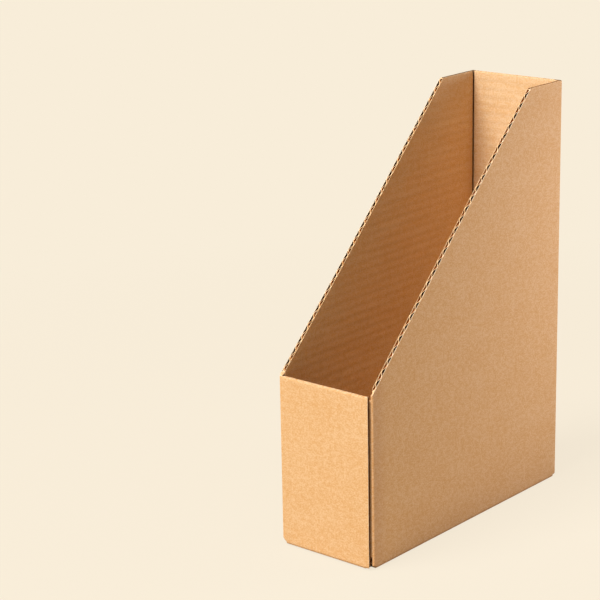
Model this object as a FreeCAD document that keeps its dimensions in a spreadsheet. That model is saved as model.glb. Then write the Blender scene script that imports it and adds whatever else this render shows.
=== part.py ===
import FreeCAD, Part
import math
import os
import re

import Sketcher

# A desk file for magazines, folded from one sheet of corrugated board and glued.
# Millimetres. +Z up, front panel at -Y, right-hand side wall at +X.
# Origin: middle of the outline, on the surface that the file stands on.
#
# The sheet is a strip of front panel, left wall, back, right wall and glue tab,
# whose flutes run level all the way round, with a flap under each panel. Flutes
# are hollow wherever they run out at a cut edge, and pressed flat at the folds.

doc = FreeCAD.newDocument("magazine_file")

# ---------------------------------------------------------------- dimensions

SIZES = [
    ("box_width", 80.0, "outside, left to right"),
    ("box_depth", 228.0, "outside, front to back"),
    ("back_height", 306.0, "back panel, and the level stretch of each side wall"),
    ("front_height", 125.0, "front panel, where the sloping edges start"),
    ("top_flat", 41.0, "level stretch at the top of a side wall"),
    ("board", 3.0, "thickness of the board"),
    ("bend_radius", 2.0, "outside of a fold, less than the board's thickness"),
    ("crease_width", 1.0, "from the inside corner of a fold to the crease's edge"),
    ("crease_depth", 0.8, "how far the crease is pressed into that corner"),
    ("liner", 0.3, "flat paper on each face of the board"),
    ("fluting", 0.25, "wavy paper between the liners"),
    ("flute_pitch", 6.24, "one wave to the next"),
    ("glue_line", 1.0, "width over which a wave is glued to a liner"),
    ("flute_crest", 0.9, "radius at the closed end of a hollow"),
    ("first_flute", 5.4, "lowest hollow of a sloping edge, above the front panel"),
    ("fold_crush", 6.0, "flutes pressed flat, from the outer face of a fold"),
    ("edge_crush", 1.2, "flutes pressed flat along a cut that runs with them"),
    ("edge_clear", 0.2, "raw edge of the front panel, short of the tab's fold"),
    ("tab_length", 27.0, "glue tab behind the front panel, from the right side"),
    ("tab_drop", 3.0, "ends of the tab's fold, inside those of the front panel"),
    ("tab_taper", 6.0, "further narrowing of each end of the tab"),
    ("slot_clear", 1.0, "end of a corner's bend to the start of a flap"),
    ("corner_lift", 0.8, "cut foot of a corner, above the floor"),
    ("front_score", 0.5, "front and back flap folds, above the side ones"),
    ("seam_gap", 0.6, "between the side flaps, under the box"),
    ("flap_length", 40.0, "front and back flaps, inside the box"),
]

sheet = doc.addObject("Spreadsheet::Sheet", "Sizes")
for row, (alias, size, meaning) in enumerate(SIZES, start=1):
    sheet.set("A%d" % row, alias)
    sheet.set("B%d" % row, str(size))
    sheet.set("C%d" % row, meaning)
    sheet.setAlias("B%d" % row, alias)
doc.recompute()
ALIASES = {alias for alias, _, _ in SIZES}


def linked(formula):
    """The formula with each size read from the sheet."""
    return re.sub(r"[a-z_]+", lambda word: "Sizes." + word[0] if word[0] in ALIASES else word[0], formula)


def value(formula):
    """The present value of a formula of sizes."""
    return float(sheet.evalExpression(linked(formula)))


# Places that several features share.
LEFT, RIGHT = "(-box_width / 2)", "(box_width / 2)"
FRONT, BACK = "(-box_depth / 2)", "(box_depth / 2)"
IN_LEFT, IN_RIGHT = f"({LEFT} + board)", f"({RIGHT} - board)"
IN_FRONT, IN_BACK = f"({FRONT} + board)", f"({BACK} - board)"
BEND_LEFT, BEND_RIGHT = f"({LEFT} + bend_radius)", f"({RIGHT} - bend_radius)"
BEND_FRONT, BEND_BACK = f"({FRONT} + bend_radius)", f"({BACK} - bend_radius)"
BEND_TAB = f"({IN_FRONT} + bend_radius)"
RAW_EDGE = f"({BEND_RIGHT} - edge_clear)"
TAB_END = f"({RIGHT} - tab_length)"
SLOPE_END = f"({BACK} - top_flat)"
FLAPS_FRONT, FLAPS_BACK = f"({BEND_TAB} + slot_clear)", f"({IN_BACK} - slot_clear)"
FLAPS_LEFT, FLAPS_RIGHT = f"({IN_LEFT} + slot_clear)", f"({IN_RIGHT} - slot_clear)"
FOOT = "(board + front_score)"
SEAM = "(seam_gap / 2)"
MOUTH = "(flute_pitch - glue_line)"
FLAP_FRONT_END, FLAP_BACK_END = f"({FRONT} + flap_length)", f"({BACK} - flap_length)"

# ---------------------------------------------------------------- sketch tools

body = doc.addObject("PartDesign::Body", "folded_sheet")
body.Label = "folded_sheet"
PLANES = {plane.Role: plane for plane in body.Origin.OriginFeatures}


def new_sketch(name, plane, along_normal):
    """Sketch on an origin plane, moved along the plane's normal.

    XY_Plane shows X, Y with its normal up; YZ_Plane shows Y, Z with its normal
    to the right; XZ_Plane shows X, Z with its normal to the front.
    """
    sketch = body.newObject("Sketcher::SketchObject", name)
    sketch.AttachmentSupport = [(PLANES[plane], "")]
    sketch.MapMode = "FlatFace"
    sketch.setExpression(".AttachmentOffset.Base.z", linked(along_normal))
    return sketch


def fix(sketch, kind, *where_and_formula):
    """Add a dimension whose last argument is a formula of sizes."""
    *where, formula = where_and_formula
    index = sketch.addConstraint(Sketcher.Constraint(kind, *where, value(formula)))
    sketch.setExpression("Constraints[%d]" % index, linked(formula))


def fix_point(sketch, geometry, point, x, y):
    fix(sketch, "DistanceX", -1, 1, geometry, point, x)
    fix(sketch, "DistanceY", -1, 1, geometry, point, y)


def bend(centre_x, centre_y, quarter):
    """Outside of a fold, a quarter turn anticlockwise: 0 starts at +x, 1 at +y."""
    return centre_x, centre_y, quarter


def crease(x, y, into_x, into_y):
    """Inside corner of a fold: a dent pressed towards the outside, in three points.

    The signs say which way the outside corner lies. The dent is walked from the
    side along x first when the signs differ, from the side along y when not.
    """
    dent = (f"{x} {into_x} crease_depth", f"{y} {into_y} crease_depth")
    away = {"+": "-", "-": "+"}
    on_x_side = (f"{x} {away[into_x]} crease_width", y)
    on_y_side = (x, f"{y} {away[into_y]} crease_width")
    return (on_x_side, dent, on_y_side) if into_x != into_y else (on_y_side, dent, on_x_side)


def outline(sketch, stations):
    """Close a line through corners (x, y) and bends (centre x, centre y, quarter)."""
    ends = []
    for station in stations:
        x, y = value(station[0]), value(station[1])
        if len(station) == 2:
            ends.append((None, FreeCAD.Vector(x, y), FreeCAD.Vector(x, y)))
            continue
        radius, start = value("bend_radius"), station[2] * math.pi / 2
        circle = Part.Circle(FreeCAD.Vector(x, y), FreeCAD.Vector(0, 0, 1), radius)
        arc = Part.ArcOfCircle(circle, start, start + math.pi / 2)
        index = sketch.addGeometry(arc)
        fix_point(sketch, index, 3, station[0], station[1])
        fix(sketch, "Radius", index, "bend_radius")
        level_first = station[2] % 2 == 0
        for end, is_level in ((1, level_first), (2, not level_first)):
            kind = "Horizontal" if is_level else "Vertical"
            sketch.addConstraint(Sketcher.Constraint(kind, index, 3, index, end))
        ends.append((index, arc.StartPoint, arc.EndPoint))

    lines = []
    for (_, _, leave), (_, reach, _) in zip(ends, ends[1:] + ends[:1]):
        lines.append(sketch.addGeometry(Part.LineSegment(leave, reach)))
    for place, (station, (arc, _, _)) in enumerate(zip(stations, ends)):
        line_in, line_out = lines[place - 1], lines[place]
        if arc is None:
            sketch.addConstraint(Sketcher.Constraint("Coincident", line_in, 2, line_out, 1))
            fix_point(sketch, line_out, 1, *station)
        else:
            sketch.addConstraint(Sketcher.Constraint("Coincident", line_in, 2, arc, 1))
            sketch.addConstraint(Sketcher.Constraint("Coincident", arc, 2, line_out, 1))


def extrude(kind, name, sketch, length, flip=False):
    """Pad towards the sketch's normal or Pocket away from it, unless flipped."""
    feature = body.newObject("PartDesign::" + kind, name)
    feature.Profile = sketch
    feature.Type = "Length"
    feature.setExpression("Length", linked(length))
    feature.Reversed = flip
    feature.Refine = False
    doc.recompute()
    body.Tip = feature
    return feature

# ---------------------------------------------------------------- panels

sleeve = new_sketch("sleeve_plan", "XY_Plane", FOOT)
outline(sleeve, [
    bend(BEND_RIGHT, BEND_TAB, 3),
    bend(BEND_RIGHT, BEND_BACK, 0),
    bend(BEND_LEFT, BEND_BACK, 1),
    bend(BEND_LEFT, BEND_FRONT, 2),
    (RAW_EDGE, FRONT), (RAW_EDGE, IN_FRONT),
])
outline(sleeve, [
    (IN_RIGHT, IN_FRONT),
    *crease(IN_RIGHT, IN_BACK, "+", "+"),
    *crease(IN_LEFT, IN_BACK, "-", "+"),
    *crease(IN_LEFT, IN_FRONT, "-", "-"),
])
extrude("Pad", "sleeve", sleeve, f"back_height - {FOOT}")

# The right wall's cut starts behind its fold with the tab, the left wall's in its
# fold with the front panel.
for name, face, start, reach in (("right", RIGHT, IN_FRONT, "box_width - board"),
                                 ("left", IN_LEFT, FRONT, "board")):
    above = new_sketch(name + "_above_the_slope", "YZ_Plane", face)
    outline(above, [
        (f"{FRONT} - board", "front_height"), (start, "front_height"),
        (SLOPE_END, "back_height"), (SLOPE_END, "back_height + board"),
        (f"{FRONT} - board", "back_height + board"),
    ])
    extrude("Pocket", name + "_slope", above, reach)

tab = new_sketch("tab_shape", "XZ_Plane", f"-{IN_FRONT}")
outline(tab, [
    (IN_RIGHT, f"{FOOT} + board + tab_drop"), (IN_RIGHT, "front_height - tab_drop"),
    (TAB_END, "front_height - tab_drop - tab_taper"),
    (TAB_END, f"{FOOT} + board + tab_drop + tab_taper"),
])
extrude("Pad", "glue_tab", tab, "board", flip=True)

# ---------------------------------------------------------------- closed bottom

corners = new_sketch("corner_plan", "XY_Plane", "corner_lift")
outline(corners, [
    bend(BEND_RIGHT, BEND_TAB, 3),
    (RIGHT, FLAPS_FRONT), (IN_RIGHT, FLAPS_FRONT), (IN_RIGHT, IN_FRONT),
])
outline(corners, [
    (RIGHT, FLAPS_BACK), bend(BEND_RIGHT, BEND_BACK, 0), (FLAPS_RIGHT, BACK),
    (FLAPS_RIGHT, IN_BACK), (IN_RIGHT, IN_BACK), (IN_RIGHT, FLAPS_BACK),
])
outline(corners, [
    (FLAPS_LEFT, BACK), bend(BEND_LEFT, BEND_BACK, 1), (LEFT, FLAPS_BACK),
    (IN_LEFT, FLAPS_BACK), (IN_LEFT, IN_BACK), (FLAPS_LEFT, IN_BACK),
])
outline(corners, [
    (LEFT, FLAPS_FRONT), bend(BEND_LEFT, BEND_FRONT, 2), (FLAPS_LEFT, FRONT),
    (FLAPS_LEFT, IN_FRONT), (IN_LEFT, IN_FRONT), (IN_LEFT, FLAPS_FRONT),
])
extrude("Pad", "corner_feet", corners, f"{FOOT} - corner_lift")

side = new_sketch("side_flap_shape", "XZ_Plane", f"-{FLAPS_FRONT}")
outline(side, [
    (SEAM, "0"), bend(BEND_RIGHT, "bend_radius", 3), (RIGHT, FOOT),
    (IN_RIGHT, FOOT), (IN_RIGHT, "board"), (SEAM, "board"),
])
right_flap = extrude("Pad", "right_flap", side, f"{FLAPS_BACK} - {FLAPS_FRONT}", flip=True)

left_flap = body.newObject("PartDesign::Mirrored", "left_flap")
left_flap.Originals = [right_flap]
left_flap.MirrorPlane = (PLANES["YZ_Plane"], [""])
left_flap.Refine = False
body.Tip = left_flap

front = new_sketch("front_flap_shape", "YZ_Plane", RAW_EDGE)
outline(front, [
    bend(BEND_FRONT, "(front_score + bend_radius)", 2),
    (FLAPS_FRONT, "board"), (FLAP_FRONT_END, "board"), (FLAP_FRONT_END, "2 * board"),
    (FLAPS_FRONT, "2 * board"), (IN_FRONT, FOOT), (FRONT, FOOT),
])
extrude("Pad", "front_flap", front, f"{RAW_EDGE} - {FLAPS_LEFT}", flip=True)

back = new_sketch("back_flap_shape", "YZ_Plane", FLAPS_RIGHT)
outline(back, [
    bend(BEND_BACK, "(front_score + bend_radius)", 3),
    (BACK, FOOT), (IN_BACK, FOOT), (FLAPS_BACK, "2 * board"),
    (FLAP_BACK_END, "2 * board"), (FLAP_BACK_END, "board"), (FLAPS_BACK, "board"),
])
extrude("Pad", "back_flap", back, f"{FLAPS_RIGHT} - {FLAPS_LEFT}", flip=True)

# ---------------------------------------------------------------- flutes


def hollow(sketch, upright, liner_face, inward, centre):
    """One hollow between a liner and the wave: two flanks and a round crest.

    The liner's face and the wave's centre are given across and along the board,
    which are the sketch's x and y where the board is upright, y and x where not.
    """
    def place(geometry, point, across, along):
        fix_point(sketch, geometry, point, *((across, along) if upright else (along, across)))

    def here(across, along):
        x, y = (across, along) if upright else (along, across)
        return FreeCAD.Vector(x, y)

    depth = "(board - 2 * liner - fluting)"
    base, middle = value(liner_face), value(centre)
    half, crest = value(f"{MOUTH} / 2"), value("flute_crest")
    rise = value(f"{depth} - flute_crest")
    reach = math.hypot(rise, half)
    lean = math.sqrt(1 - (crest / reach) ** 2)
    over = crest * (half * lean - rise * crest / reach) / reach
    aside = crest * (half * crest / reach + rise * lean) / reach
    near, far = here(base, middle - half), here(base, middle + half)
    hub = here(base + inward * rise, middle)
    low = here(base + inward * (rise + over), middle - aside)
    high = here(base + inward * (rise + over), middle + aside)

    # an arc runs anticlockwise, so the crest starts at whichever end makes it the short one
    at_high, at_low = (1, 2) if (high - hub).cross(low - hub).z > 0 else (2, 1)
    ends = (high, low) if at_high == 1 else (low, high)
    start, end = (math.atan2(point.y - hub.y, point.x - hub.x) for point in ends)
    circle = Part.Circle(hub, FreeCAD.Vector(0, 0, 1), crest)

    mouth = sketch.addGeometry(Part.LineSegment(near, far))
    flank_in = sketch.addGeometry(Part.LineSegment(far, high))
    arc = sketch.addGeometry(Part.ArcOfCircle(circle, start, start + (end - start) % (2 * math.pi)))
    flank_out = sketch.addGeometry(Part.LineSegment(low, near))
    sketch.addConstraint([
        Sketcher.Constraint("Coincident", mouth, 2, flank_in, 1),
        Sketcher.Constraint("Coincident", flank_out, 2, mouth, 1),
        Sketcher.Constraint("Tangent", flank_in, 2, arc, at_high),
        Sketcher.Constraint("Tangent", arc, at_low, flank_out, 1),
    ])
    place(mouth, 1, liner_face, f"{centre} - {MOUTH} / 2")
    place(mouth, 2, liner_face, f"{centre} + {MOUTH} / 2")
    sign = "+" if inward > 0 else "-"
    place(arc, 3, f"{liner_face} {sign} ({depth} - flute_crest)", centre)
    fix(sketch, "Radius", arc, "flute_crest")


def flutes(name, plane, at, length, upright, flip, face, inward, first, last):
    """Cut a panel's hollows, in pairs, one pitch apart from first to last."""
    sketch = new_sketch(name + "_wave", plane, at)
    sign, back_sign = ("+", "-") if inward > 0 else ("-", "+")
    start = f"({first} + {MOUTH} / 2)"
    hollow(sketch, upright, f"({face} {sign} liner)", inward, start)
    hollow(sketch, upright, f"({face} {sign} board {back_sign} liner)", -inward,
           f"({start} + flute_pitch / 2)")
    cut = extrude("Pocket", name + "_flute", sketch, length, flip)

    rows = body.newObject("PartDesign::LinearPattern", name + "_flutes")
    rows.Originals = [cut]
    rows.Direction = (sketch, ["V_Axis" if upright else "H_Axis"])
    rows.Mode = "Spacing"
    rows.setExpression("Offset", linked("flute_pitch"))
    stretch = f"({last} - {first} - {MOUTH} - flute_pitch / 2)"
    rows.setExpression("Occurrences", linked(f"floor({stretch} / flute_pitch) + 1"))
    rows.Refine = False
    doc.recompute()
    body.Tip = rows


TAB_FOOT, TAB_TOP = f"({FOOT} + board + tab_drop)", "(front_height - tab_drop)"
for name, face, inward, seam_side in (("right", RIGHT, -1, 1), ("left", LEFT, 1, -1)):
    flutes(name + "_wall", "XZ_Plane", f"-{FRONT}", "box_depth - fold_crush", True, False,
           face, inward, "(front_height + first_flute)", "(back_height - edge_crush)")
    near_seam, near_fold = f"({SEAM} + edge_crush)", f"({RIGHT} - fold_crush)"
    first, last = (near_seam, near_fold) if seam_side > 0 else (f"-{near_fold}", f"-{near_seam}")
    flutes(name + "_flap", "XZ_Plane", f"-{FLAPS_FRONT}", f"{FLAPS_BACK} - {FLAPS_FRONT}",
           False, False, "0", 1, first, last)
flutes("front", "YZ_Plane", RAW_EDGE, f"{RAW_EDGE} - {LEFT} - fold_crush", True, False,
       FRONT, 1, f"({FOOT} + edge_crush)", "(front_height - edge_crush)")
flutes("tab", "YZ_Plane", TAB_END, "tab_length - fold_crush", True, True,
       IN_FRONT, 1, f"({TAB_FOOT} + tab_taper)", f"({TAB_TOP} - tab_taper)")

doc.recompute()

# ---------------------------------------------------------------- check and write

os.makedirs("parts", exist_ok=True)
for item in doc.Objects:
    faults = {"Invalid", "Error"} & set(item.State)
    if faults:
        raise SystemExit("%s is %s" % (item.Label, ", ".join(sorted(faults))))
shape = body.Shape
if shape.isNull() or not shape.isValid() or len(shape.Solids) != 1:
    raise SystemExit("the folded sheet isn't one valid solid")
shape.exportStep("parts/%s.step" % body.Label)
box = shape.BoundBox
print("%s: %.1f x %.1f x %.1f mm, %.1f cm3" % (
    body.Label, box.XLength, box.YLength, box.ZLength, shape.Volume / 1000))
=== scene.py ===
# %% [markdown]
# # A magazine file of folded corrugated cardboard
# Corrugated board is three papers glued together: a flat liner on each face and a wavy
# paper, the fluting, between them. The whole file is one die-cut sheet of that board,
# creased, folded round and glued. So this lesson makes the three papers one by one, each
# as a closed thin skin, and lays them along the same folded path. Cut edges then show
# real hollows, because there are real waves behind them.

# %% Load the fixed frame
import math

import bpy
import numpy as np
from mathutils import Matrix, Vector


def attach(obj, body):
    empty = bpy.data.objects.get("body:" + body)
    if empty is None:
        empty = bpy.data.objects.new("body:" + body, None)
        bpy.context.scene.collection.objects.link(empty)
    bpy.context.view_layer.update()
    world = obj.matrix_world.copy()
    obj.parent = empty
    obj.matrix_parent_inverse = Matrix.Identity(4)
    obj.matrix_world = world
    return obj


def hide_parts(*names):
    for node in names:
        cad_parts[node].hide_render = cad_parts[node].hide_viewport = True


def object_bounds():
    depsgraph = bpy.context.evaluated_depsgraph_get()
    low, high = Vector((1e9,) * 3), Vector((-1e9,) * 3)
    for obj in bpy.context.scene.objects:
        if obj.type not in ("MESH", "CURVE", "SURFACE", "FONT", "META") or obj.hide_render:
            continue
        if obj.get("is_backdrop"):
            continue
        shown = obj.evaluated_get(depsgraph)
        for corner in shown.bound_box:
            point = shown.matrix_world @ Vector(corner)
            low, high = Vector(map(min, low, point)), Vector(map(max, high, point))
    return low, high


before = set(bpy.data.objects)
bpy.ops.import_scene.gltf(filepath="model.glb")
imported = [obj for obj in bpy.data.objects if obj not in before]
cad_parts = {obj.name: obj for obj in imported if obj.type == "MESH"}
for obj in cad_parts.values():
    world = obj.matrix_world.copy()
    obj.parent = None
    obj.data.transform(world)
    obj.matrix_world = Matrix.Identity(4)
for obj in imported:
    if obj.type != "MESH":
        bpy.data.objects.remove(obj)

low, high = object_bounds()

# %% [markdown]
# ## The sizes of the sheet
# Every length is in metres, and `MM` turns workshop sizes into them. The outside comes from
# the frame itself, so the sheet can't end up larger than the solid that it stands for. The
# rest are the board's own sizes: its thickness, how sharply it folds, how long the waves
# are, and where the cuts run.

# %% Sizes
MM = 0.001
TOUCH = 1e-6                     # places nearer to each other than this count as one
FAR = 9.0                        # a distance that stands for nowhere near

BOARD = 3.0 * MM
LINER = 0.3 * MM
FLUTING = 0.22 * MM
PITCH = 6.24 * MM                # from one wave to the next
WAVE_AT = 126.8 * MM             # a height at which the wave touches the inner liner
BEND = 2.0 * MM                  # outer radius of a fold
TAB_BEND = 1.2 * MM              # outer radius of the glue tab's fold
CREASE = 1.2 * MM                # depth of the dent inside a fold
FRONT_TOP = 125.0 * MM           # height of the front panel
TOP_FLAT = 41.0 * MM             # level part of a side wall's top
RAW_OVER = 0.4 * MM              # how far the raw edge reaches past the start of the right corner
CORNER_LIFT = 0.8 * MM           # height of the lowest row
SIDE_FOOT = 3.5 * MM             # height at which a wall goes over into its flap
SCORE = 0.5 * MM                 # how much higher the front and the back flap are scored
SEAM = 0.05 * MM                 # half the gap between the side flaps, too narrow to see through
RAW_CORNER = 4.0 * MM            # from the raw edge to the front flap
FLAP_LENGTH = 40.0 * MM          # of the front and the back flap
TAB_LENGTH = 27.0 * MM
TAB_FOOT, TAB_TOP = 9.5 * MM, 122.0 * MM
TAB_TAPER = 6.0 * MM             # how far each end of the tab slants

left, front, floor_z = low
right, back, top_z = high
in_front = front + BOARD
raw_x = right - BEND + RAW_OVER
slope_y = back - TOP_FLAT
print("outside %.0f x %.0f x %.0f mm" % tuple(1000 * (high - low)))

# %% [markdown]
# ## A path for the folded strip
# Seen from above, the strip runs from the raw edge of the front panel round the left, the
# back and the right, and ends in the glue tab behind the front panel. Each station of the
# path has a point on the outer face and its partner on the inner face. In a flat panel the
# partners face each other. In a fold the outer points go round an arc, while the inner ones
# are pressed into a crease, which is what a creasing rule does to board before it is folded.
# A table of stations with straight lines between them is enough, because any place along
# the strip is then one call of `np.interp`.

# %% One fold
ARC_STEPS = 6
FOLD_LEAD, TAB_LEAD = 2.0 * MM, 2.8 * MM         # flat board beside the arc that the dent takes in
LEAST_REACH = 0.6 * MM           # the inner face runs on at least this far after the dent


def fold(corner, first, then, lead=FOLD_LEAD, bend=BEND):
    """Outer and inner stations of one fold of radius `bend`, with `lead` before and after it.

    `corner` is where the two outer faces would meet, `first` the direction in which the
    strip arrives and `then` the one in which it leaves. The outer face follows a quarter
    circle. The inner face goes from its flat to a dent and back, along the square root of a
    cosine bell, which is steep at its ends.
    """
    corner, first, then = (np.array(v, float) for v in (corner, first, then))
    turn = np.linspace(0, math.pi / 2, ARC_STEPS + 1)[:, None]
    centre = corner - bend * first + bend * then
    arc = centre + bend * (np.sin(turn) * first - np.cos(turn) * then)
    outer = np.vstack([arc[0] - lead * first, arc, arc[-1] + lead * then])
    inside = corner - BOARD * first + BOARD * then
    share = np.linspace(-1, 1, len(outer))[:, None]
    reach = lead + bend - BOARD
    reach_after = max(reach, LEAST_REACH)
    bell = CREASE * np.sqrt(0.5 + 0.5 * np.cos(math.pi * share))
    away = np.where(share < 0, -reach * first, reach_after * then)
    inner = inside + np.abs(share) * away + bell * (first - then)
    return outer, inner


print("a fold has", len(fold((0, 0), (1, 0), (0, 1))[0]), "stations")


# %% Stations of the strip
def strip_path():
    """Stations of the whole strip: length along the outer face, outer x y, inner x y."""
    to_left, to_back = (-1, 0), (0, 1)
    to_right, to_front = (1, 0), (0, -1)
    tab_end = right - TAB_LENGTH
    runs = [
        (np.array([[raw_x, front]]), np.array([[raw_x, in_front]])),
        fold((left, front), to_left, to_back),
        fold((left, back), to_back, to_right),
        fold((right, back), to_right, to_front),
        fold((right, in_front), to_front, to_left, TAB_LEAD, TAB_BEND),
        (np.array([[tab_end, in_front]]), np.array([[tab_end, in_front + BOARD]])),
    ]
    outer = np.vstack([run[0] for run in runs])
    inner = np.vstack([run[1] for run in runs])
    steps = np.linalg.norm(np.diff(outer, axis=0), axis=1)
    return np.concatenate([[0], np.cumsum(steps)]), outer, inner


LENGTH, OUTER, INNER = strip_path()
print("strip %.1f mm long, %d stations" % (1000 * LENGTH[-1], len(LENGTH)))


# %% Reading the path
PROBES = 20001                   # places tried along the strip, about 0.03 mm apart


def station(x, y):
    """Length along the strip of the outer point nearest to x, y."""
    fine = np.linspace(0, LENGTH[-1], PROBES)
    px, py = (np.interp(fine, LENGTH, OUTER[:, k]) for k in (0, 1))
    return fine[np.argmin((px - x) ** 2 + (py - y) ** 2)]


def on_strip(length, depth):
    """x and y at a length along the strip and a depth, 0 at the outer face, 1 at the inner."""
    place = []
    for k in (0, 1):
        out = np.interp(length, LENGTH, OUTER[:, k])
        into = np.interp(length, LENGTH, INNER[:, k])
        place.append(out + depth * (into - out))
    return place


print("the left slope ends %.1f mm along the strip" % (1000 * station(left, slope_y)))

# %% [markdown]
# ## Rows and columns
# The skin of each paper is a grid: columns stand at places along the strip, rows at heights.
# Eight rows to a wave are enough for a smooth wave. Extra rows stand close to the cuts, where
# the edge is rounded, and extra columns at the folds. On the side walls the columns are
# squeezed towards the back as the row climbs, so the first column of each row lies exactly
# on the sloping cut, while every row stays level like the waves.

# %% Rows
ROWS_PER_WAVE = 8
ROW_GAP, COLUMN_GAP = 0.3 * MM, 0.05 * MM        # what lies nearer together is left out
NEAR_EDGE = np.array([1.2, 0.7, 0.3]) * MM       # extra rows below a level cut


def spaced(*stops_and_counts):
    """One rising list of places from stop, count, stop, count, ..., stop."""
    stops, counts = stops_and_counts[0::2], stops_and_counts[1::2]
    pieces = [np.linspace(a, b, n, endpoint=False) for a, n, b in zip(stops, counts, stops[1:])]
    return np.concatenate(pieces + [[stops[-1]]])


def rows_between(bottom, top, extra=()):
    """Heights in step with the waves, with the extra ones put in and close ones left out."""
    step = PITCH / ROWS_PER_WAVE
    count = np.arange(math.ceil((bottom - WAVE_AT) / step), math.floor((top - WAVE_AT) / step) + 1)
    waves = WAVE_AT + count * step
    fixed = np.array(sorted({bottom, top, *extra}))
    apart = np.abs(waves[:, None] - fixed[None, :]).min(1) > ROW_GAP
    return np.sort(np.concatenate([fixed, waves[apart]]))


HEIGHTS = rows_between(CORNER_LIFT, top_z, [
    SIDE_FOOT, TAB_FOOT, TAB_TOP, FRONT_TOP, *(FRONT_TOP - NEAR_EDGE), *(top_z - NEAR_EDGE)])
print(len(HEIGHTS), "rows")

# %% Columns
# the stations of each fold: front left, back left, back right and front right
FOLDS = f_left, b_left, b_right, f_right = np.split(LENGTH[1:-1], 4)
FOLD_MIDDLE = 1 + ARC_STEPS // 2                 # number of the station in the middle of a fold
CUT_STRIP = 1.0 * MM                             # beside an upright cut the columns are close
TAB_FOLD = f_right[FOLD_MIDDLE]

# where each wall's flap starts and ends along the strip
front_flap = (RAW_CORNER, f_left[0])
left_flap = (station(left, in_front + BOARD), b_left[0])
back_flap = (b_left[-1], b_right[0])
right_flap = (b_right[-1], f_right[0])
left_wall, strip_end = f_left[FOLD_MIDDLE], f_right[-2]

PLACES = np.unique(np.concatenate([
    spaced(0.0, 2, CUT_STRIP, 1, RAW_CORNER, 22, front_flap[1]),
    f_left, spaced(left_flap[0], 14, left_flap[1]),
    b_left, spaced(back_flap[0], 24, back_flap[1]),
    b_right, spaced(right_flap[0], 14, right_flap[1]), f_right[:-1]]).round(7))
PLACES = PLACES[np.diff(PLACES, append=FAR) > COLUMN_GAP]
print(len(PLACES), "columns")


def column(length):
    """Number of the column that stands at a place along the strip."""
    return int(np.argmin(np.abs(PLACES - length)))


def row(height):
    """Number of the row that lies at a height."""
    return int(np.argmin(np.abs(HEIGHTS - height)))

# %% [markdown]
# ## Ragged cuts
# A steel rule presses its way through the board, so no cut is a perfect line. Each paper gets
# its own small unevenness: a coarse part, as the rule wanders, and a fine part, as fibres
# tear. Random numbers come from seeded generators, so every run makes the same file.

# %% Unevenness along a cut
COARSE_STEP, FINE_STEP = 25.0 * MM, 1.3 * MM
COARSE_SHARE, FINE_SHARE = 0.4, 0.6
KNOTS_FROM, KNOTS_TO = -0.05, 0.75               # metres, a little more than the strip is long


def ragged(along, depth, seed, fine=FINE_STEP):
    """Smooth random offsets from 0 to `depth` at each place in `along`.

    Two rows of random values, one with a coarse and one with a `fine` step, are read
    between their points and added, each with its share of the whole.
    """
    random = np.random.default_rng(seed)
    total = 0
    for step, weight in ((COARSE_STEP, COARSE_SHARE), (fine, FINE_SHARE)):
        knots = np.arange(KNOTS_FROM, KNOTS_TO, step)
        total = total + weight * np.interp(along, knots, random.random(len(knots)))
    return depth * total


def near(distance, reach):
    """1 at distance 0 and 0 from `reach` on, with a smooth step between."""
    share = np.clip(1 - np.asarray(distance) / reach, 0, 1)
    return share * share * (3 - 2 * share)


CUT_WANDER = 0.16 * MM
print("a cut wanders by %.2f mm on average" % (1000 * ragged(HEIGHTS, CUT_WANDER, 0).mean()))

# %% [markdown]
# ## The panels as grids
# A patch is one grid of board: the outer and the inner face, which quads of it exist, where
# it joins the next patch instead of ending in a cut, how far its flutes are pressed flat, and
# how far across the waves each point lies. The main patch is the whole strip of four walls.
# The glue tab and the four flaps are patches of their own that meet it edge to edge. Each
# point also knows its distances from the folds, the foot, the raw edge and the glue tab's
# fold, because the paper's colour is tinted there, mostly with painted shade and a painted
# highlight.

# %% A patch of board
FOOT_FOLD = 0.43 * MM            # where the middle of a bottom fold lies across the waves


def patch_of(outer, inner, along, across, crush, shoulder, from_fold):
    """A patch of which every quad exists and every side is a cut.

    `along` and `across` give each point's place on the strip. `crush` is 1 where the waves
    are pressed flat, and `shoulder` is 1 where a cut has rounded the board's edge off.
    """
    rows, columns = along.shape
    return {
        "outer": outer, "inner": inner,
        "keep": np.ones((rows - 1, columns - 1), bool),
        "joined_rows": np.zeros((rows, columns - 1), bool),
        "joined_columns": np.zeros((rows - 1, columns), bool),
        "along": along, "across": across,
        "crush": crush, "shoulder": shoulder, "flare": np.zeros_like(along),
        "from_fold": from_fold, "from_foot": np.abs(across - FOOT_FOLD),
        "from_raw": along, "from_seam": np.abs(along - TAB_FOLD),
    }


def strip_patch(length, height, across, crush, shoulder):
    """A patch whose columns follow the strip: both faces are read off the path."""
    outer, inner = (np.stack([*on_strip(length, depth), height], axis=-1) for depth in (0.0, 1.0))
    from_fold = np.min([np.abs(length - stations[FOLD_MIDDLE]) for stations in FOLDS], axis=0)
    return patch_of(outer, inner, length, across, crush, shoulder, from_fold)


# %% [markdown]
# The side walls lose a long wedge to the sloping cuts. The grid isn't cut, which would leave
# it with ragged quads. Its columns close up behind the cut instead, row by row. A wall with
# its top cut away is also free to bow inwards a little.

# %% The sloping cuts
STEADY = 1.6 * MM                # width behind a sloping cut in which the columns aren't squeezed
WARP = {"left": 0.7 * MM, "right": 0.9 * MM}     # how far each side wall bows inwards


def squeeze(offset, cut, whole):
    """Distances from the start of a panel, once a cut has taken `cut` off its length `whole`.

    The first `STEADY` of the panel moves along with the cut, and the rest closes up.
    """
    rest = cut + STEADY + (offset - STEADY) * (whole - cut - STEADY) / (whole - STEADY)
    return np.where(offset < STEADY, cut + offset, rest)


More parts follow.
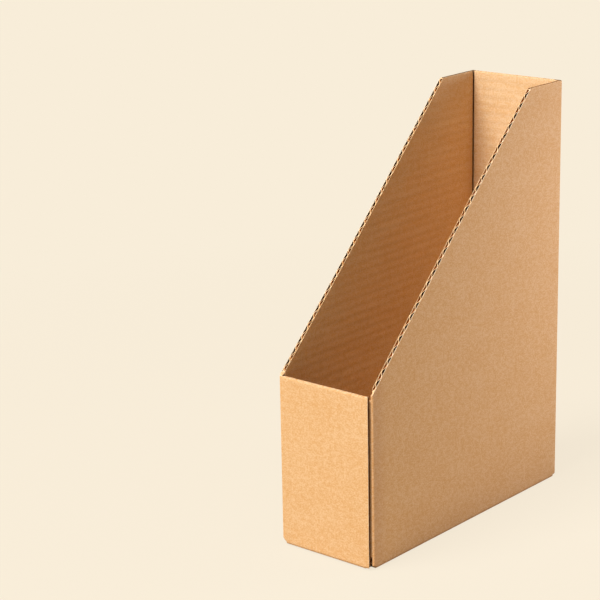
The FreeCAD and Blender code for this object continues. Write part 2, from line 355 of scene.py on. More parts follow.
def slopes(height, length, seed):
    """New lengths, distances to the sloping cuts and bow, for every point of the strip's grid.

    Both cuts are straight in the flat sheet. The left one starts in the middle of the fold
    with the front panel, the right one at the fold with the glue tab. The bow is a half
    sine wave up the slope, and fades out along the wall towards the back.
    """
    share = np.clip((height - FRONT_TOP) / (top_z - FRONT_TOP), 0, 1)
    above = height > FRONT_TOP + TOUCH
    to_cut, free = np.full_like(length, FAR), np.zeros_like(length)
    sides = (("left", left_wall, left_flap[1], station(left, slope_y), 1),
             ("right", strip_end, right_flap[0], station(right, slope_y), -1))
    for turn, (side, start, end, reached, way) in enumerate(sides):
        taken = share * (reached - start) * way + above * ragged(height, CUT_WANDER, seed + turn)
        whole = (end - start) * way
        offset = (length - start) * way
        on_side = (offset > -TOUCH) & ((end - length) * way > -TOUCH)
        to_cut = np.where(on_side & above, offset, to_cut)
        free = np.where(on_side, WARP[side] * (1 - offset / whole), free)
        length = np.where(on_side & above, start + way * squeeze(offset, taken, whole), length)
    return length, to_cut, free * np.sin(math.pi * share)


# %% [markdown]
# Between two flaps the corner's foot is cut up in a small round notch, so that the flaps can
# fold in without tearing the corner. The rows bend up over it and settle again above.

# %% The corners' feet
CORNER_REST = 2.0 * MM           # height of a corner's foot where it meets a flap
CORNER_FEET = (4.4 * MM, 2.2 * MM, 2.2 * MM, 2.8 * MM)     # height of each notch in its middle
NOTCH_REACH = 3.6 * MM           # half the width of a notch
NOTCH_MARGIN = 0.1 * MM          # columns this far outside it still count as its own
RAISED_SHARE = 0.8               # how much of a notch's rise the rows above it follow
RAW_FOOT = (1.9 * MM, 1.3 * MM)  # height of the foot at the raw edge and at the front flap


def corner_feet(height, length):
    """Heights once the foot of each corner is cut up in a round notch between two flaps.

    The foot is a cosine bell over the fold on a level step. What lies above moves up with
    it, less and less up to the foot of the glue tab.
    """
    for stations, foot in zip(FOLDS, CORNER_FEET):
        beside = length - stations[FOLD_MIDDLE]
        bell = 0.5 + 0.5 * np.cos(math.pi * np.clip(beside / NOTCH_REACH, -1, 1))
        notch = CORNER_REST + (foot - CORNER_REST) * bell
        raised = RAISED_SHARE * (foot - CORNER_REST) * bell
        here = np.abs(beside) < NOTCH_REACH + NOTCH_MARGIN
        share = (height - CORNER_LIFT) / (SIDE_FOOT - CORNER_LIFT)
        low_part = notch + share * (SIDE_FOOT + raised - notch)
        high_part = height + raised * near(height - SIDE_FOOT, TAB_FOOT - SIDE_FOOT)
        height = np.where(here, np.where(height < SIDE_FOOT, low_part, high_part), height)
    raw_foot = np.interp(length, [0, RAW_CORNER], RAW_FOOT)
    share = (height - CORNER_LIFT) / (SIDE_FOOT - CORNER_LIFT)
    at_raw_corner = (length < RAW_CORNER + TOUCH) & (height < SIDE_FOOT)
    return np.where(at_raw_corner, raw_foot + share * (SIDE_FOOT - raw_foot), height)


# %% [markdown]
# Now the four walls can be put together. The board is softest at its edges: a cut that runs
# with the waves and every fold press them flat, and a cut across them bursts the papers open.

# %% The four walls
EDGE_CRUSH, FOLD_CRUSH = 1.2 * MM, 2.5 * MM      # how far in the waves are pressed flat
FOLD_FLAT = 1.8 * MM             # half the width of a fold in which they are quite flat
FLARE_REACH = 1.3 * MM           # how far in the papers have burst open
CUT_REACH = 2.0 * MM             # how far in the grid follows an uneven cut
LEVEL_FINE = 2.6 * MM            # fine step of the unevenness of a cut along the waves


def walls(seed, recess=0.0, raw_recess=0.0):
    """The strip's four walls: level rows, with the columns squeezed behind the sloping cuts.

    `recess` is how far this paper stays below the others at the side walls' tops, and
    `raw_recess` how far it stays back from the raw edge.
    """
    flat_height, flat_length = np.meshgrid(HEIGHTS, PLACES, indexing="ij")
    length, to_cut, warp = slopes(flat_height, flat_length, seed)

    # cuts that run with the flutes: the top, the front panel's top and the feet
    is_front = flat_length < left_wall - TOUCH
    below_top = np.where(is_front, FRONT_TOP, top_z) - flat_height
    level_cut = np.where(~is_front & (flat_height < FRONT_TOP), FAR, below_top)
    on_left_wall = (flat_length > left_wall) & (flat_length < b_left[-1])
    on_side_wall = on_left_wall | (flat_length > b_right[0])
    wander = ragged(flat_length, CUT_WANDER, seed + 2, LEVEL_FINE)
    wander = wander + np.where(on_side_wall, recess, 0)
    height = corner_feet(flat_height - wander * near(level_cut, CUT_REACH), flat_length)

    # the board's edge is rounded at those cuts, and its waves pressed flat there and at folds
    free_foot = (flat_length < RAW_CORNER - TOUCH) | (flat_height < SIDE_FOOT)
    foot_shoulder = np.where(free_foot, near(flat_height - CORNER_LIFT, EDGE_CRUSH), 0)
    shoulder = np.maximum(near(level_cut, EDGE_CRUSH), foot_shoulder)
    past_raw_corner = np.clip(flat_length / RAW_CORNER * 2 - 1, 0, 1)
    folded_foot = near(flat_height - SIDE_FOOT, FOLD_CRUSH) * past_raw_corner
    crush = np.maximum(shoulder, folded_foot)
    for stations in FOLDS:
        from_fold = np.abs(length - stations[FOLD_MIDDLE]) - FOLD_FLAT
        crush = np.maximum(crush, near(from_fold, FOLD_CRUSH))

    # the raw upright edge of the front panel
    raw_cut = raw_recess + ragged(flat_height, CUT_WANDER, seed + 3)
    length = length + raw_cut * near(flat_length, RAW_CORNER)
    to_cut = np.minimum(to_cut, flat_length)

    patch = strip_patch(length, height, flat_height, crush, shoulder)
    for face in (patch["outer"], patch["inner"]):
        face[..., 0] += np.where(flat_length < b_left[0], warp, -warp)
    patch["flare"] = near(to_cut, FLARE_REACH) * (1 - shoulder)

    # no board above the front panel, and the flaps and the tab join on
    keep = patch["keep"]
    keep[row(FRONT_TOP):, :column(left_wall)] = False
    footless = np.zeros(len(PLACES) - 1, bool)
    for start, end in (front_flap, left_flap, back_flap, right_flap):
        footless[column(start):column(end)] = True
    keep[:row(SIDE_FOOT), footless] = False
    patch["joined_rows"][row(SIDE_FOOT), footless] = True
    patch["joined_columns"][row(TAB_FOOT):row(TAB_TOP), -1] = True
    return patch


# %% [markdown]
# The glue tab carries on from the last fold, behind the front panel. Its two ends are cut
# slanting, so its rows close up a little towards its tip.

# %% The glue tab
TAB_COLUMNS = 8


def glue_tab(seed):
    """The tab: rows of the walls from its foot to its top, drawn together towards its end."""
    rows = HEIGHTS[row(TAB_FOOT):row(TAB_TOP) + 1]
    places = spaced(strip_end, TAB_COLUMNS, LENGTH[-1] - CUT_STRIP, 2, LENGTH[-1])
    height, length = np.meshgrid(rows, places, indexing="ij")
    share = (length - strip_end) / (LENGTH[-1] - strip_end)
    middle = (TAB_FOOT + TAB_TOP) / 2
    closing = 1 - share * TAB_TAPER / ((TAB_TOP - TAB_FOOT) / 2)
    slanted = middle + (height - middle) * closing
    end_cut = near(LENGTH[-1] - length, CUT_REACH)
    length = length - ragged(height, CUT_WANDER, seed) * end_cut
    crush = near(np.minimum(height - TAB_FOOT, TAB_TOP - height), EDGE_CRUSH)
    crush = np.maximum(crush, near(length - strip_end, FOLD_CRUSH))
    patch = strip_patch(length, slanted, slanted, crush, 0 * crush)
    patch["flare"] = near(LENGTH[-1] - length, FLARE_REACH) * (1 - crush)
    patch["joined_columns"][:, 0] = True
    return patch


# %% [markdown]
# Each flap is the next stretch of board below a wall's fold: the wall's own columns, carried
# round the fold and under the box. The two side flaps lie on the shelf. The front and the
# back flap are scored half a millimetre higher and ramp up, so they rest on the side flaps.

# %% One flap
FLAP_ROWS = 48


def flap(axis, corner, score, lead, stops, places, seed):
    """A flap under one wall, as a profile carried along the wall's columns.

    `axis` is 0 for a profile in x and z, 1 for one in y and z. The profile leaves the wall
    downwards, turns at `corner`, and then goes through the `stops`: pairs of outer and inner
    points, each across the wall and up.
    """
    inward = -math.copysign(1, corner)
    outer, inner = fold((corner, score), (0, -1), (inward, 0), lead)
    outer = np.vstack([outer, [stop[0] for stop in stops]])
    inner = np.vstack([inner, [stop[1] for stop in stops]])
    length = np.concatenate([[0], np.cumsum(np.linalg.norm(np.diff(outer, axis=0), axis=1))])
    turn_end = length[ARC_STEPS + 2]
    along = np.concatenate([length[:ARC_STEPS + 3],
                            np.linspace(turn_end, length[-1], FLAP_ROWS)[1:]])[::-1]
    down, place = np.meshgrid(along, places, indexing="ij")
    read = down - ragged(place, CUT_WANDER, seed) * near(length[-1] - down, CUT_REACH)
    faces = []
    for depth, side in enumerate((outer, inner)):
        face = np.stack([*on_strip(place, depth), 0 * down], axis=-1)
        face[..., axis] = np.interp(read, length, side[:, 0])
        face[..., 2] = np.interp(read, length, side[:, 1])
        faces.append(face)
    shoulder = near(length[-1] - down, EDGE_CRUSH)
    crush = np.maximum(shoulder, near(down - turn_end, FOLD_CRUSH))
    nowhere = np.full_like(down, FAR)
    patch = patch_of(*faces, place, SIDE_FOOT - down, crush, shoulder, nowhere)
    patch["joined_rows"][-1] = True
    return patch


# %% The four flaps
def places_in(start, end):
    """The wall's own columns between two places, both of them included."""
    return PLACES[column(start):column(end) + 1]


def flaps(seed):
    """Both side flaps, then the front and the back flap."""
    side_lead, end_lead = SIDE_FOOT - BEND, SIDE_FOOT - SCORE - BEND
    made = []
    for corner, (start, end), seam in ((left, left_flap, -SEAM), (right, right_flap, SEAM)):
        stops = [((seam, 0.0), (seam, BOARD))]
        made.append(flap(0, corner, 0.0, side_lead, stops, places_in(start, end), seed))
    for corner, (start, end) in ((front, front_flap), (back, back_flap)):
        inward = -math.copysign(1, corner)
        ramp, tip = corner + inward * 2 * BOARD, corner + inward * FLAP_LENGTH
        stops = [((ramp, BOARD), (ramp, 2 * BOARD)), ((tip, BOARD), (tip, 2 * BOARD))]
        made.append(flap(1, corner, SCORE, end_lead, stops, places_in(start, end), seed + 1))
    return made


print("patches:", [grid["outer"].shape[:2] for grid in (walls(0), glue_tab(0), *flaps(0))])

# %% [markdown]
# ## One paper as a closed skin
# A paper is thin but not nothing, so it is made as a closed skin: its outer face, its inner
# face, and a narrow rim along every cut. Where a patch joins the next one there is no rim,
# and the two are welded there. All faces point outwards. The rims get a material of their
# own, because freshly cut board shows paler, torn fibres.

# %% The skin of one patch
DISTANCES = ("from_fold", "from_foot", "from_raw", "from_seam")   # kept for the materials
OUTER_SIDE, INNER_SIDE, RIM_ACROSS, RIM_ALONG = 0, 1, 2, 3        # kinds of face


def skin(patch, depth_out, depth_in):
    """Points, faces, kinds of face and marks of one patch.

    Each face of the paper lies at a depth between the board's outer face, 0, and its inner
    face, 1. A rim quad stands on every grid edge that has a kept quad on one side only,
    unless the next patch joins there. The marks are the point's place on the strip and its
    distances, and both faces have the same ones.
    """
    across = patch["inner"] - patch["outer"]
    faces = [patch["outer"] + depth[..., None] * across for depth in (depth_out, depth_in)]
    rows, columns = depth_out.shape
    points = np.concatenate([face.reshape(-1, 3) for face in faces])
    number = np.arange(rows * columns).reshape(rows, columns)
    keep = patch["keep"]

    def quads(a, b, c, d, where):
        return np.stack([grid[where] for grid in (a, b, c, d)], axis=-1)

    def rim(a, b, ahead, behind, joined):
        """Quads down the edges from a to b with board ahead of them or behind, but not both."""
        under_a, under_b = a + rows * columns, b + rows * columns
        return np.concatenate([quads(a, b, under_b, under_a, ahead & ~behind & ~joined),
                               quads(b, a, under_a, under_b, behind & ~ahead & ~joined)])

    near_left, near_right = number[:-1, :-1], number[:-1, 1:]
    far_right, far_left = number[1:, 1:], number[1:, :-1]
    outer = quads(near_left, far_left, far_right, near_right, keep)
    inner = outer[:, ::-1] + rows * columns

    padded = np.pad(keep, ((1, 1), (0, 0)))
    along = rim(number[:, :-1], number[:, 1:], padded[1:], padded[:-1], patch["joined_rows"])
    padded = np.pad(keep, ((0, 0), (1, 1)))
    crossing = rim(number[1:], number[:-1], padded[:, 1:], padded[:, :-1],
                   patch["joined_columns"])

    faces = [outer, inner, crossing, along]
    kinds = np.repeat([OUTER_SIDE, INNER_SIDE, RIM_ACROSS, RIM_ALONG], [len(f) for f in faces])
    marks = np.stack([patch[mark].ravel() for mark in ("along", "across", *DISTANCES)], -1)
    return points, np.concatenate(faces), kinds, np.concatenate([marks] * 2)


# %% One paper from its patches
SHARP_FROM = math.radians(50)    # edges that turn more than this are shaded sharp


def joined(patches, depths):
    """Points, faces, kinds and marks of all patches together, welded where they meet.

    Points that no face uses are dropped. Those that agree to `TOUCH` become one.
    """
    parts, first = [], 0
    for patch in patches:
        points, faces, kinds, marks = skin(patch, *depths(patch))
        parts.append((points, faces + first, kinds, marks))
        first += len(points)
    points, faces, kinds, marks = (np.concatenate(part) for part in zip(*parts))

    used = np.unique(faces)
    renumber = np.full(len(points), -1)
    renumber[used] = np.arange(len(used))
    points, marks, faces = points[used], marks[used], renumber[faces]

    _, keep, same = np.unique(np.round(points / TOUCH).astype(np.int64), axis=0,
                              return_index=True, return_inverse=True)
    return points[keep], same.reshape(-1)[faces], kinds, marks[keep]


def paper(name, patches, depths, materials):
    """A mesh object for one paper, with its map and its distances for the materials.

    `materials` has one for each kind of face. In a closed skin every edge is shared by
    exactly two faces, and the others are counted.
    """
    points, faces, kinds, marks = joined(patches, depths)
    mesh = bpy.data.meshes.new(name)
    mesh.from_pydata(points.tolist(), [], faces.tolist())
    for material in materials:
        mesh.materials.append(material)
    mesh.polygons.foreach_set("material_index", kinds.astype(np.int32))
    mesh.polygons.foreach_set("use_smooth", np.ones(len(kinds), bool))
    layer = mesh.uv_layers.new(name="along_and_across")
    corner = np.empty(len(mesh.loops), np.int32)
    mesh.loops.foreach_get("vertex_index", corner)
    layer.data.foreach_set("uv", marks[corner, :2].astype(np.float32).ravel())
    for number, mark in enumerate(DISTANCES, start=2):
        distance = mesh.attributes.new(mark, "FLOAT", "POINT")
        distance.data.foreach_set("value", marks[:, number].astype(np.float32))
    mesh.update()
    mesh.set_sharp_from_angle(angle=SHARP_FROM)
    thing = bpy.data.objects.new(name, mesh)
    bpy.context.scene.collection.objects.link(thing)

    edges = np.sort(np.stack([faces, np.roll(faces, -1, axis=1)], -1).reshape(-1, 2), axis=1)
    _, shared = np.unique(edges, axis=0, return_counts=True)
    print("%s: %d triangles, %d open or doubled edges" % (
        name, 2 * len(faces), int((shared != 2).sum())))
    return thing

# %% [markdown]
# ## The three papers
# The outer liner is the smooth face. The fluting swings between the liners and is pressed
# flat along the folds and along cuts that run with it, where it fills the gap. The inner
# liner shows the washboard: it is glued down on every wave and sinks a little in between.

# %% What all three papers need
# shares of the board's thickness
WASHBOARD = 0.10 * MM / BOARD                    # how far the inner liner sinks between waves
OUTSIDE_WASHBOARD = 0.025 * MM / BOARD           # and the outer one
ROUNDING = 0.35 * MM / BOARD                     # how far a cut has rounded the board's edge
GLUE_GAP = 0.003                                 # what the glue takes up between two papers

# how much thicker the papers are where a cut has burst them open
LINER_FLARE, FLUTING_FLARE = 0.06 * MM, 0.22 * MM


def wave(across):
    """1 where the fluting touches the inner liner, -1 where it touches the outer one."""
    return np.cos(2 * math.pi * (across - WAVE_AT) / PITCH)


def liner_thickness(patch):
    """Share of the board that a liner takes, more where its cut has burst open."""
    return (LINER + LINER_FLARE * patch["flare"]) / BOARD


# %% The washboard's unevenness
WASHBOARD_SEED = 5
WAVE_NUMBERS, SLOW_NUMBERS = np.arange(-15, 65), np.arange(-2, 38)
SLOW_STEP = 20 * MM                              # along the strip


def unevenness(patch, seed):
    """A factor around 1 for each place: some waves sink the liner more than others.

    Every wave has one random value, read between waves, times a slow one along the strip.
    """
    random = np.random.default_rng(seed)
    waves = random.uniform(0.7, 1.3, len(WAVE_NUMBERS))
    slow = random.uniform(0.8, 1.2, len(SLOW_NUMBERS))
    by_wave = np.interp(patch["across"] / PITCH, WAVE_NUMBERS, waves)
    return by_wave * np.interp(patch["along"] / SLOW_STEP, SLOW_NUMBERS, slow)


# %% Depths of the papers in the board
def outer_liner_depths(patch):
    """Depths of the outer liner's two faces.

    It sinks a very little where the wave is far from it, and more at a rounded edge.
    """
    sink = OUTSIDE_WASHBOARD * (0.5 + 0.5 * wave(patch["across"])) * (1 - patch["crush"])
    out = sink + ROUNDING * patch["shoulder"] ** 2
    return out, out + liner_thickness(patch)


def inner_liner_depths(patch):
    """Depths of the inner liner's two faces, which sink between the waves that hold it."""
    between = 0.5 - 0.5 * wave(patch["across"])
    sink = WASHBOARD * between * (1 - patch["crush"]) * unevenness(patch, WASHBOARD_SEED)
    face = 1 - sink - ROUNDING * patch["shoulder"] ** 2
    return face - liner_thickness(patch), face


def fluting_depths(patch):
    """Depths of the fluting's two faces.

    Its middle swings as far as the liners let it. Where it is pressed flat it lies in the
    middle of the board and grows thick enough to fill the gap between them.
    """
    half_paper = 0.5 * (FLUTING + FLUTING_FLARE * patch["flare"]) / BOARD
    touch = 0.5 - liner_thickness(patch) - GLUE_GAP
    middle = 0.5 + (touch - half_paper) * wave(patch["across"]) * (1 - patch["crush"])
    filled = touch - ROUNDING * patch["shoulder"] ** 2
    half = half_paper + (filled - half_paper) * patch["crush"]
    return middle - half, middle + half


print("the wave swings %.2f mm" % (1000 * 2 * (BOARD / 2 - LINER - FLUTING / 2 - GLUE_GAP * BOARD)))

# %% [markdown]
# ## Kraft paper
# Kraft is made of long brown fibres that lie mostly one way, so it is cloudy at the width of
# a finger and speckled at a millimetre, and the inner liner is streaked along the waves. The
# pattern swings between a paler and a deeper tone of one colour, because thin places show
# yellower, not only lighter. It is read from each paper's own map, in metres along the strip
# and across the waves, so it runs round the folds like a real sheet's.
#
# Painted shade darkens the inner creases, the feet, the narrow gap beside the raw edge and
# the right wall near it, a painted highlight pales the glue tab's fold, and the outer face is
# a little deeper in tone along the folds. Each point carries its distances from those places,
# so a tint that fades with one of the distances is all that it takes.

# %% Nodes
def wire(tree, kind, inputs=(), **settings):
    """A new node with settings, whose inputs are values or other nodes' outputs."""
    node = tree.nodes.new(kind)
    for key, setting in settings.items():
        setattr(node, key, setting)
    for key, given in dict(inputs).items():
        if isinstance(given, bpy.types.NodeSocket):
            tree.links.new(given, node.inputs[key])
        else:
            node.inputs[key].default_value = given
    return node


def bare_material(name):
    """A new material without nodes, and its node tree."""
    material = bpy.data.materials.new(name)
    material.use_nodes = True
    material.node_tree.nodes.clear()
    return material, material.node_tree


# %% Fibres and tints
def fibre_noise(tree, place, spots, stretch, detail):
    """A flat noise of so many spots to the metre across the waves, longer by `stretch` along."""
    scale = (spots / stretch, spots, 1.0)
    mapping = wire(tree, "ShaderNodeMapping", {"Vector": place, "Scale": scale})
    noise = wire(tree, "ShaderNodeTexNoise", {
        "Vector": mapping.outputs["Vector"], "Scale": 1.0, "Detail": detail}, noise_dimensions="2D")
    return noise.outputs["Fac"]


def tinted_near(tree, colour, mark, tint, reach):
    """A colour multiplied by `tint` where the distance in attribute `mark` is near 0: mostly
    painted shade, and a painted highlight where `tint` is above 1.
    """
    distance = wire(tree, "ShaderNodeAttribute", attribute_name=mark).outputs["Fac"]
    nearness = wire(tree, "ShaderNodeMapRange", {
        "Value": distance, "From Min": 0.0, "From Max": reach, "To Min": 1.0, "To Max": 0.0},
        interpolation_type="SMOOTHSTEP").outputs["Result"]
    return wire(tree, "ShaderNodeMix", {"Factor": nearness, "A": colour, "B": (*tint, 1)},
                data_type="RGBA", blend_type="MULTIPLY").outputs["Result"]


# %% Kraft paper
SWING = np.array([0.4, 1.0, 2.0])                # how far red, green and blue swing with the tone
ROUGHNESS = 0.8
PAPER_RELIEF, PAPER_GLOSS = 0.012 * MM, 0.25     # height of the fibres, and a faint shine


def kraft(name, colour, contrast, layers, tints=(), bump=PAPER_RELIEF, gloss=PAPER_GLOSS):
    """A kraft paper of one colour.

    `layers` are noises: spots to the metre, stretch, detail and weight. Their weighted sum
    around a half picks a tone between a deeper and a paler colour, `contrast` apart. The
    first layer is the relief as well. Each of `tints` is a distance's name, a colour to
    multiply with where that distance is 0, and how far this reaches; most tints are painted
    shade, one a painted highlight.
    """
    material, tree = bare_material(name)
    place = wire(tree, "ShaderNodeUVMap", uv_map="along_and_across").outputs["UV"]
    noises = [fibre_noise(tree, place, *layer[:3]) for layer in layers]
    tone = 0.5
    for noise, (_, _, _, weight) in zip(noises, layers):
        centred = wire(tree, "ShaderNodeMath", {0: noise, 1: 0.5}, operation="SUBTRACT").outputs[0]
        tone = wire(tree, "ShaderNodeMath", {0: centred, 1: weight, 2: tone},
                    operation="MULTIPLY_ADD").outputs[0]
    swing = contrast * SWING
    deep, pale = np.array(colour) * (1 - swing), np.array(colour) * (1 + swing)
    mottled = wire(tree, "ShaderNodeMix", {"Factor": tone, "A": (*deep, 1), "B": (*pale, 1)},
                   data_type="RGBA").outputs["Result"]

    for tint in tints:
        mottled = tinted_near(tree, mottled, *tint)

    relief = wire(tree, "ShaderNodeBump", {"Distance": bump, "Height": noises[0]})
    surface = wire(tree, "ShaderNodeBsdfPrincipled", {
        "Base Color": mottled, "Roughness": ROUGHNESS, "Specular IOR Level": gloss,
        "Normal": relief.outputs["Normal"]})
    wire(tree, "ShaderNodeOutputMaterial", {"Surface": surface.outputs["BSDF"]})
    return material


# %% The two faces of the board
# noises: spots to the metre, stretch along the waves, detail and weight
SPECKLE, MOTTLE, CLOUD = (1000.0, 1.4, 1.0, 2.2), (320.0, 1.4, 1.0, 1.0), (60.0, 1.5, 3.0, 0.5)
STREAK = (160.0, 9.0, 3.0, 0.9)
# tints: on the outer face a little deeper tone along the folds, painted shade at the foot, a
# painted highlight on the glue tab's fold, and painted shade on the right wall towards that fold
face_kraft = kraft("kraft_face", (0.745, 0.45, 0.212), 0.15, [SPECKLE, MOTTLE, CLOUD], [
    ("from_fold", (1.0, 0.95, 0.85), 2.2 * MM), ("from_foot", (0.60, 0.45, 0.32), 2.2 * MM),
    ("from_seam", (1.45, 1.5, 1.6), 1.8 * MM), ("from_seam", (0.90, 0.87, 0.90), 18 * MM)])
# tints: painted shade in the creases inside the folds and along the foot
inner_kraft = kraft("kraft_inside", (0.745, 0.49, 0.26), 0.12, [SPECKLE, MOTTLE, CLOUD, STREAK], [
    ("from_fold", (0.20, 0.17, 0.16), 3.4 * MM), ("from_foot", (0.60, 0.50, 0.45), 3.4 * MM)])

# %% The hollows
TORN = [(700.0, 1.0, 2.0, 2.0)]
SEAM_REACH = 9.0 * MM
# painted shade on the hollows close to the raw edge, in the narrow gap
HOLLOW_SHADE_IN_SEAM = [("from_raw", (0.50, 0.40, 0.33), SEAM_REACH)]
# the hollows are painted light and shade: the outer ones near black for their shade, the inner ones
# a deeper orange for light that comes through the lit inner liner
painted_dark_outer_hollow = kraft("kraft_outer_hollows", (0.16, 0.065, 0.026), 0.1, TORN,
                     HOLLOW_SHADE_IN_SEAM, gloss=0.0)
painted_lit_inner_hollow = kraft("kraft_inner_hollows", (0.58, 0.24, 0.065), 0.1, TORN,
                     HOLLOW_SHADE_IN_SEAM, gloss=0.0)

# %% The cuts
TORN_RELIEF = 0.06 * MM
# painted shade on the cut edges close to the raw edge, in the narrow gap
CUT_SHADE_IN_SEAM = [("from_raw", (0.38, 0.31, 0.27), SEAM_REACH)]


def torn_kraft(name, colour, contrast, tints=()):
    """Torn fibres at a cut: a deep relief and no gloss."""
    return kraft(name, colour, contrast, TORN, tints, bump=TORN_RELIEF, gloss=0.0)


cut_kraft = torn_kraft("kraft_cut_edge", (0.70, 0.55, 0.37), 0.12)
wave_cut_kraft = torn_kraft("kraft_cut_waves", (0.88, 0.56, 0.30), 0.2, CUT_SHADE_IN_SEAM)
inner_cut_kraft = torn_kraft("kraft_inner_cut_edge", (0.75, 0.53, 0.29), 0.12, CUT_SHADE_IN_SEAM)
pressed_kraft = torn_kraft("kraft_pressed_waves", (0.72, 0.45, 0.23), 0.3)
print("materials:", *(m.name for m in bpy.data.materials if m.name.startswith("kraft_")))

# %% [markdown]
# ## Assembly
# The three papers are made from the same patches, each with its own unevenness at the cuts.
# All of them stand for the one folded sheet of the frame and ride on its body.

# %% The outer liner, the fluting and the inner liner
FLUTING_RECESS = 0.8 * MM                        # how far the knife pressed it down at the tops
FLUTING_BACK, INNER_BACK = 1.3 * MM, 0.8 * MM    # how far each stays back from the raw edge


def sheet(seed, recess=0.0, raw_recess=0.0):
    """All six patches of one paper, whose cuts wander in their own way for each `seed`."""
    return [walls(seed, recess, raw_recess), glue_tab(seed + 10), *flaps(seed + 20)]


papers = [
    paper("outer_liner", sheet(100), outer_liner_depths,
          [face_kraft, painted_dark_outer_hollow, cut_kraft, cut_kraft]),
    paper("fluting", sheet(200, FLUTING_RECESS, FLUTING_BACK), fluting_depths,
          [painted_dark_outer_hollow, painted_lit_inner_hollow, wave_cut_kraft, pressed_kraft]),
    paper("inner_liner", sheet(300, raw_recess=INNER_BACK), inner_liner_depths,
          [painted_lit_inner_hollow, inner_kraft, inner_cut_kraft, inner_cut_kraft]),
]
for piece in papers:
    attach(piece, "root")
    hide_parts("folded_sheet")

# %% [markdown]
# ## Floor and surroundings
# The file stands on a plain pale floor that fills the view. The floor and the room behind it
# should read as one even colour from wherever they are seen, yet the file must still throw
# its soft shadow. So to the eye the floor shines a little by itself, in its own colour, and
# close to the file a share of that shine is left out and comes back as lamplight, which the
# file can shade. Light that bounces on towards the file meets an ordinary matt floor.

# %% What the eye sees of the floor and the room
PALE = np.array([0.939, 0.847, 0.694])


def seen_directly(tree):
    """1 for rays from the eye, from a mirror or through glass, 0 for bounced light."""
    rays = wire(tree, "ShaderNodeLightPath").outputs
    seen = rays["Is Camera Ray"]
    for other in ("Is Glossy Ray", "Is Transmission Ray"):
        larger = wire(tree, "ShaderNodeMath", {0: seen, 1: rays[other]}, operation="MAXIMUM")
        seen = larger.outputs[0]
    return seen


# %% Floor
FLOOR_REACH = 20.0                               # metres, so that its edge is out of sight
MATT = 0.6                                       # how much of its colour the floor bounces back
LIT_SHARE = 0.10                                 # share of the floor's look that is lamplight
LIT_LEVEL = 1.25                                 # how much lamplight falls on the floor
LIT_FROM, LIT_TO = 0.25, 0.8                     # metres over which that share fades out


def floor_material():
    """Its own shine and some lamplight to the eye, a matt floor to bounced light."""
    material, tree = bare_material("pale_floor")
    place = wire(tree, "ShaderNodeTexCoord").outputs["Object"]
    distance = wire(tree, "ShaderNodeVectorMath", {0: place}, operation="LENGTH").outputs["Value"]
    share = wire(tree, "ShaderNodeMapRange", {
        "Value": distance, "From Min": LIT_FROM, "From Max": LIT_TO,
        "To Min": LIT_SHARE, "To Max": 0.0}).outputs["Result"]
    own = wire(tree, "ShaderNodeMath", {0: 1.0, 1: share}, operation="SUBTRACT").outputs[0]
    lit = wire(tree, "ShaderNodeMix", {
        "Factor": share, "A": (0, 0, 0, 1), "B": (*(PALE / LIT_LEVEL), 1)}, data_type="RGBA")
    shine = wire(tree, "ShaderNodeEmission", {"Color": (*PALE, 1), "Strength": own})
    shaded = wire(tree, "ShaderNodeBsdfDiffuse", {"Color": lit.outputs["Result"]})
    look = wire(tree, "ShaderNodeAddShader", {0: shine.outputs[0], 1: shaded.outputs[0]})
    matt = wire(tree, "ShaderNodeBsdfDiffuse", {"Color": (*(MATT * PALE), 1)})
    mixed = wire(tree, "ShaderNodeMixShader", {
        0: seen_directly(tree), 1: matt.outputs[0], 2: look.outputs[0]})
    wire(tree, "ShaderNodeOutputMaterial", {"Surface": mixed.outputs[0]})
    return material


corners = FLOOR_REACH * np.array([(-1, -1, 0), (1, -1, 0), (1, 1, 0), (-1, 1, 0)])
floor_mesh = bpy.data.meshes.new("floor")
floor_mesh.from_pydata(corners.tolist(), [], [(0, 1, 2, 3)])
floor_mesh.materials.append(floor_material())
floor = bpy.data.objects.new("floor", floor_mesh)
bpy.context.scene.collection.objects.link(floor)
floor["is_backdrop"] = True
print("floor %.0f m wide, the file's foot at %.2f mm" % (2 * FLOOR_REACH, abs(1000 * floor_z)))

# %% Room
ROOM_LIGHT = 0.2                                 # level of the light from all round
ROOM_TINT = (1.25, 1.0, 0.75)                    # warm, as if it came back from card around it


def pale_room():
    """A world that looks like the floor and gives a little warm light from all round."""
    world = bpy.data.worlds.new("pale_room")
    bpy.context.scene.world = world
    world.use_nodes = True
    tree = world.node_tree
    tree.nodes.clear()
    look = wire(tree, "ShaderNodeBackground", {"Color": (*PALE, 1), "Strength": 1.0})
    light = wire(tree, "ShaderNodeBackground", {"Color": (*ROOM_TINT, 1), "Strength": ROOM_LIGHT})
    mixed = wire(tree, "ShaderNodeMixShader", {
        0: seen_directly(tree), 1: light.outputs[0], 2: look.outputs[0]})
    wire(tree, "ShaderNodeOutputWorld", {"Surface": mixed.outputs[0]})


pale_room()
print("room light", ROOM_LIGHT)

# %% [markdown]
# ## Light
# One large lamp high in front is the main light, so the front panel is the brightest face
# and the back wall glows inside. A weak distant lamp low in front evens out the lower
# part. A small, slightly cool lamp stands close behind the right wall, so that the wall grows
# paler towards the back. Each lamp's level is the light that it throws on a card
# held facing it at the file: at 1, a colour comes out as it is written.

# %% Lamps
MIDDLE = Vector((0, 0, 0.15))


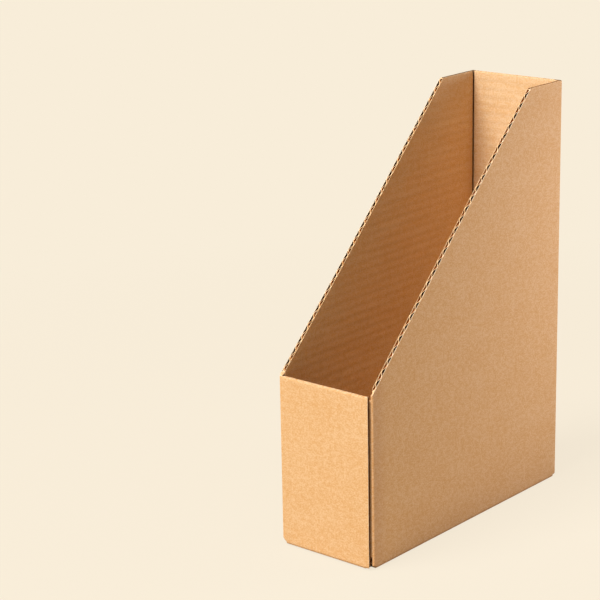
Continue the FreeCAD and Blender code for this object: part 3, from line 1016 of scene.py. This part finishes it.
def lamp(name, kind, azimuth, elevation, level, width, distance=2.0, tint=(1, 1, 1)):
    """A lamp aimed at the middle of the file; azimuth 0 is in front and 90 at the right.

    `width` is a disc's diameter in metres, or a distant lamp's spread in degrees.
    """
    light = bpy.data.lights.new(name, kind)
    light.color = tint
    if kind == "SUN":
        light.energy, light.angle = math.pi * level, math.radians(width)
    else:
        light.shape, light.size = "DISK", width
        light.energy = level * (math.pi * distance) ** 2
    a, e = math.radians(azimuth), math.radians(elevation)
    towards = Vector((math.sin(a) * math.cos(e), -math.cos(a) * math.cos(e), math.sin(e)))
    thing = bpy.data.objects.new(name, light)
    thing.location = MIDDLE + distance * towards
    thing.rotation_mode = "QUATERNION"
    thing.rotation_quaternion = (-towards).to_track_quat("-Z", "Y")
    thing.visible_camera = False
    bpy.context.scene.collection.objects.link(thing)
    print(name, "at", [round(v, 2) for v in thing.location])


lamp("main_lamp", "AREA", azimuth=-15, elevation=60, level=1.24, width=1.07)
lamp("low_front_lamp", "SUN", azimuth=-15, elevation=10, level=0.275, width=30)
lamp("side_lamp", "AREA", azimuth=135, elevation=15, level=0.45, width=0.3,
     distance=0.45, tint=(1, 1, 1.18))

# %% [markdown]
# ## Camera
# The camera stands in front and to the right, a little above the file, and the file keeps to
# the right of the frame. Its place is worked out from a point to look at, two angles and a
# distance, and then it is rolled a degree round its own line of sight.

# %% Camera
AZIMUTH, ELEVATION, ROLL = math.radians(40.653), math.radians(16.229), math.radians(-1.113)
DISTANCE, TARGET = 1.5192, np.array([-0.130775, 0.016, 0.133331])
SENSOR, FOCAL, FRAME = 36.0, 1983.0, 600         # mm, then focal length and width of the frame
toward = np.array([math.sin(AZIMUTH) * math.cos(ELEVATION),
                   -math.cos(AZIMUTH) * math.cos(ELEVATION), math.sin(ELEVATION)])
sideways = np.array([math.cos(AZIMUTH), math.sin(AZIMUTH), 0.0])
upwards = np.cross(toward, sideways)
turned = [[math.cos(ROLL), math.sin(ROLL)], [-math.sin(ROLL), math.cos(ROLL)]]
right_axis, up_axis = (a * sideways + b * upwards for a, b in turned)
pose = np.eye(4)
pose[:3] = np.stack([right_axis, up_axis, toward, TARGET + DISTANCE * toward], axis=1)

view = bpy.data.cameras.new("camera")
view.sensor_width = SENSOR
view.lens = SENSOR * FOCAL / FRAME
view.clip_start, view.clip_end = 0.05, 100.0
camera = bpy.data.objects.new("camera", view)
camera.matrix_world = Matrix(pose.tolist())
bpy.context.scene.collection.objects.link(camera)
bpy.context.scene.camera = camera
bpy.context.scene.view_settings.view_transform = "Standard"
print("camera at", pose[:3, 3].round(3), "with a %.0f mm lens" % view.lens)

# %% Sizes, and the end
low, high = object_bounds()
print("visual", [round(1000 * v, 2) for v in (*low, *high)])
